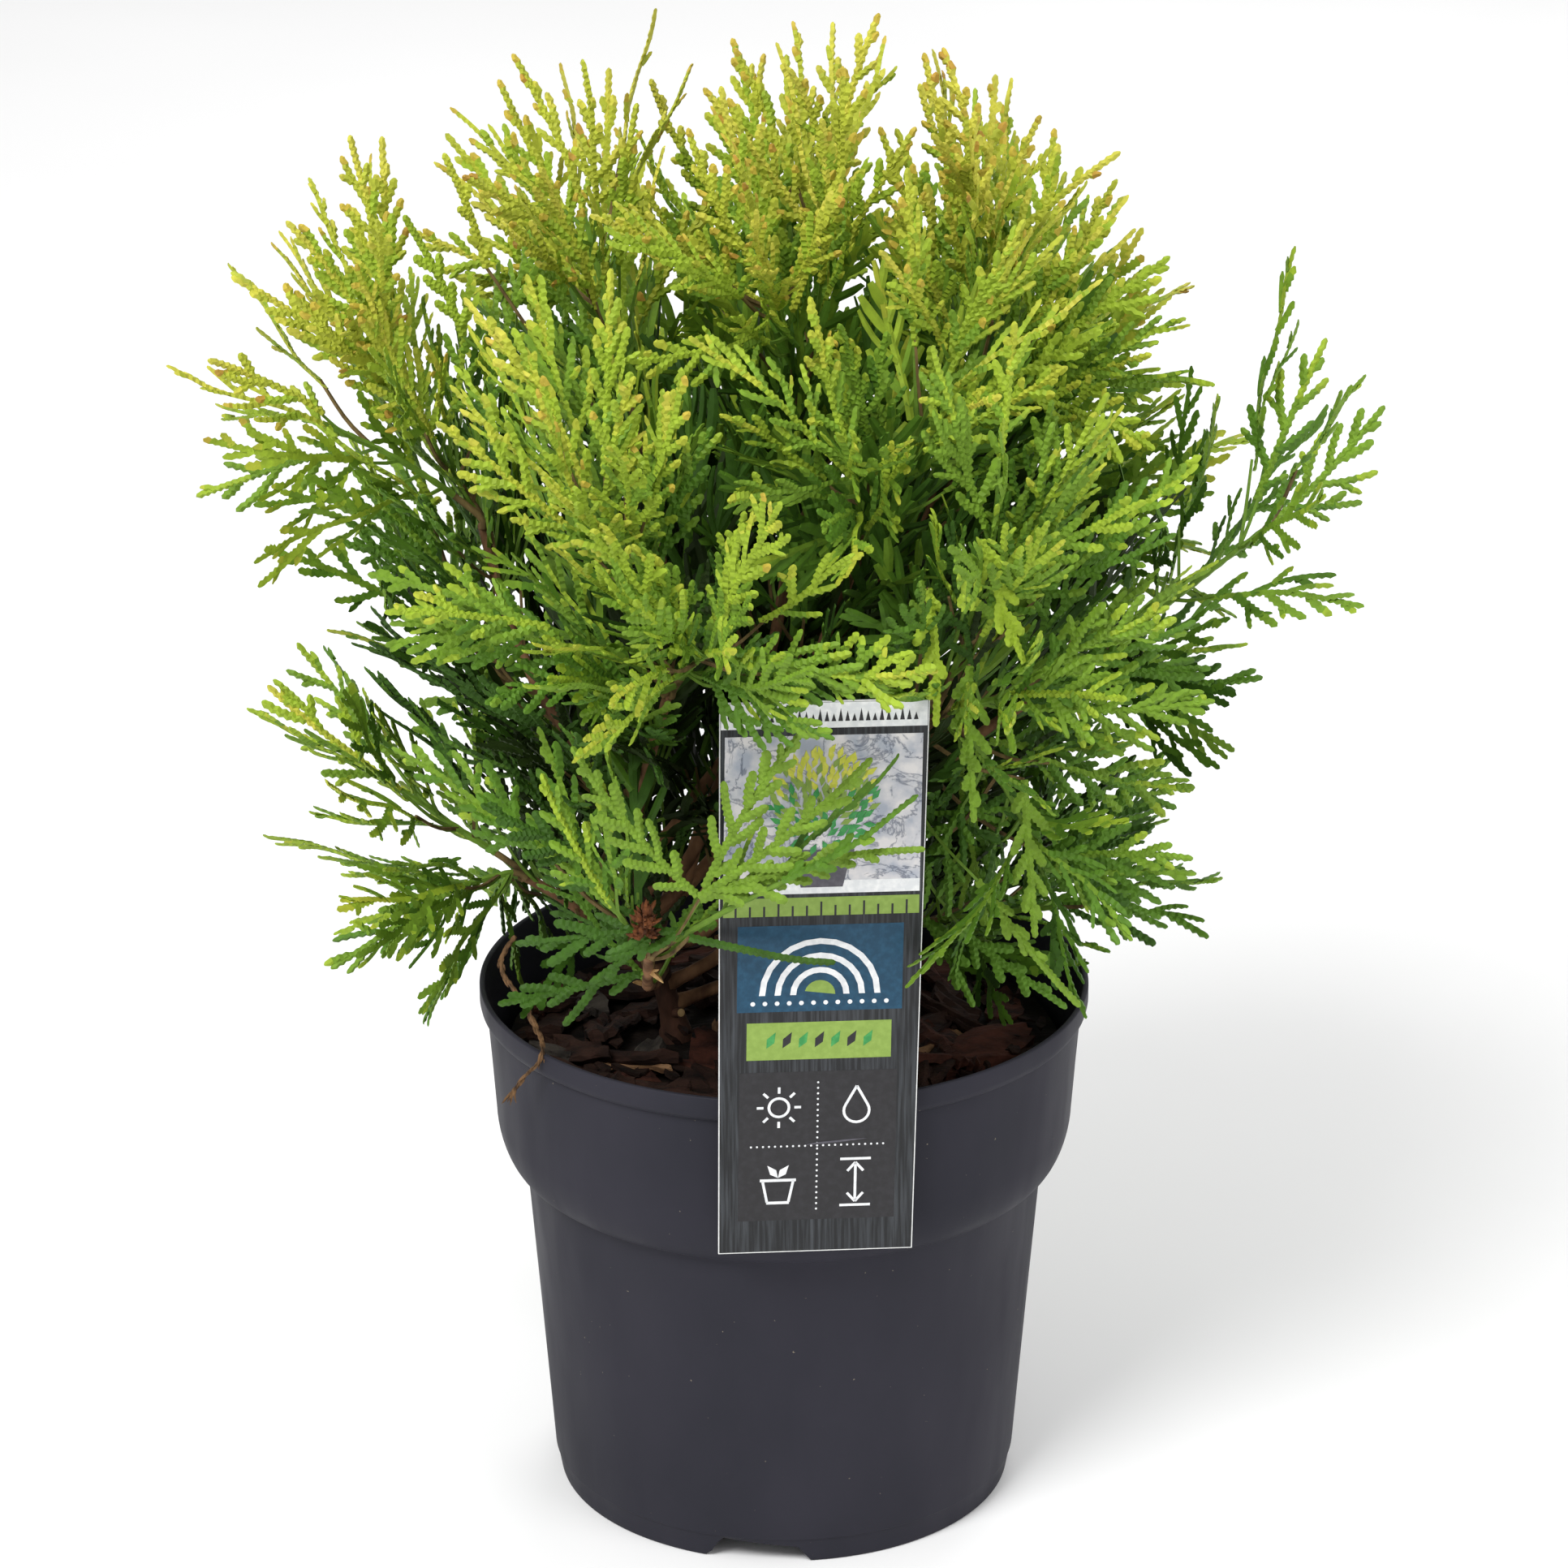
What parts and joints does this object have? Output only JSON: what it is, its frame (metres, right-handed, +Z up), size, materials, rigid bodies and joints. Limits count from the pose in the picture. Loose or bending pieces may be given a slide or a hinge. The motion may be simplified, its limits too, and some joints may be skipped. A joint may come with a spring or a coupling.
{
  "type": "potted golden globe arborvitae",
  "caption": "Young golden globe arborvitae with fan-like sprays on a short forked trunk, in a round nursery pot of bark mulch with a hanging label.",
  "frame": {"origin": "on the pot's axis, on the surface that the pot stands on", "axes": "+Z up along the pot's axis, -Y the front where the label hangs, +X to the right seen from the front"},
  "size_m": [0.37, 0.34, 0.473],
  "materials": {
    "pot_plastic": "satin",
    "label_card": "printed gloss",
    "bark_mulch": "rough",
    "bark": "rough",
    "foliage_gold": "satin",
    "foliage_lime": "satin",
    "foliage_green": "satin",
    "dead_foliage": "dry"
  },
  "bodies": {
    "root": {"bark_mulch": "bark_mulch", "bough_back": "bark", "bough_back_low": "bark", "bough_back_right": "bark", "bough_centre": "bark", "bough_front": "bark", "bough_front_low": "bark", "bough_front_right": "bark", "bough_left": "bark", "bough_left_back": "bark", "bough_left_low": "bark", "bough_middle": "bark", "bough_pot_right": "bark", "bough_right": "bark", "bough_right_upright": "bark", "bough_upright": "bark", "dead_sprig": "dead_foliage", "foliage_back_centre": "foliage_lime", "foliage_back_left": "foliage_lime", "foliage_back_low": "foliage_green", "foliage_back_low_left": "foliage_green", "foliage_back_low_right": "foliage_green", "foliage_back_right": "foliage_lime", "foliage_back_top": "foliage_gold", "foliage_back_upper_left": "foliage_lime", "foliage_back_upper_right": "foliage_lime", "foliage_bottom_left": "foliage_green", "foliage_bottom_right": "foliage_green", "foliage_drooping_right": "foliage_green", "foliage_front_centre": "foliage_lime", "foliage_front_left": "foliage_lime", "foliage_front_low_left": "foliage_lime", "foliage_front_low_right": "foliage_lime", "foliage_front_middle": "foliage_lime", "foliage_front_right": "foliage_lime", "foliage_front_top": "foliage_gold", "foliage_front_upper_left": "foliage_lime", "foliage_front_upper_right": "foliage_lime", "foliage_left_fan": "foliage_gold", "foliage_left_middle": "foliage_lime", "foliage_lower_left": "foliage_green", "foliage_middle_right": "foliage_gold", "foliage_pot_left": "foliage_green", "foliage_pot_right": "foliage_green", "foliage_right_fan": "foliage_gold", "foliage_right_lower": "foliage_green", "foliage_right_top": "foliage_gold", "foliage_right_upper": "foliage_gold", "foliage_top_centre": "foliage_gold", "foliage_top_left": "foliage_gold", "foliage_top_right": "foliage_gold", "foliage_upper_left": "foliage_gold", "hanging_label": "label_card", "pot": "pot_plastic", "trunk": "bark"}
  },
  "joints": []
}
